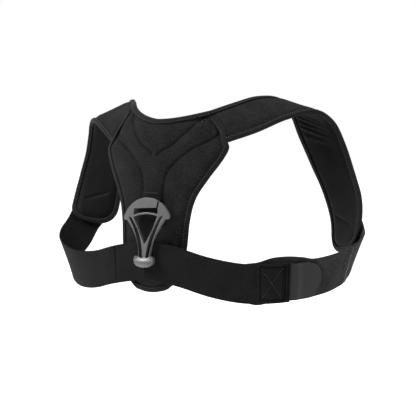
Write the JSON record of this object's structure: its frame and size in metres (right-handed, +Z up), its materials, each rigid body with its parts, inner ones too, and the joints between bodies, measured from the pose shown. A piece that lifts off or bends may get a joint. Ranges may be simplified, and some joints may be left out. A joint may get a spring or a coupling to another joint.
{
  "type": "posture corrector",
  "caption": "Padded upper-back brace: quilted back shield, shoulder straps and elastic belts that close at the side, with a moulded buckle; shown in its worn shape.",
  "frame": {"origin": "on the back pad's inner face, on its middle line between the shoulder blades", "axes": "+Z up, +Y the way the wearer faces, +X the wearer's right"},
  "size_m": [0.4652, 0.1739, 0.2529],
  "materials": {
    "padded_cloth": "matte knit over foam, quilted",
    "binding_tape": "matte folded tape",
    "elastic_web": "fine ribbed elastic",
    "tab_cloth": "smooth satin",
    "moulded_plastic": "satin"
  },
  "bodies": {
    "root": {"back_pad": "padded_cloth", "pad_binding": "binding_tape", "neck_binding": "binding_tape", "shoulder_strap_right": "padded_cloth", "shoulder_strap_left": "padded_cloth", "strap_binding_right": "binding_tape", "strap_binding_left": "binding_tape", "belt_left": "elastic_web", "belt_right": "elastic_web", "belt_front": "elastic_web", "hook_tab": "tab_cloth", "buckle": "moulded_plastic", "buckle_loop": "elastic_web"}
  },
  "joints": []
}
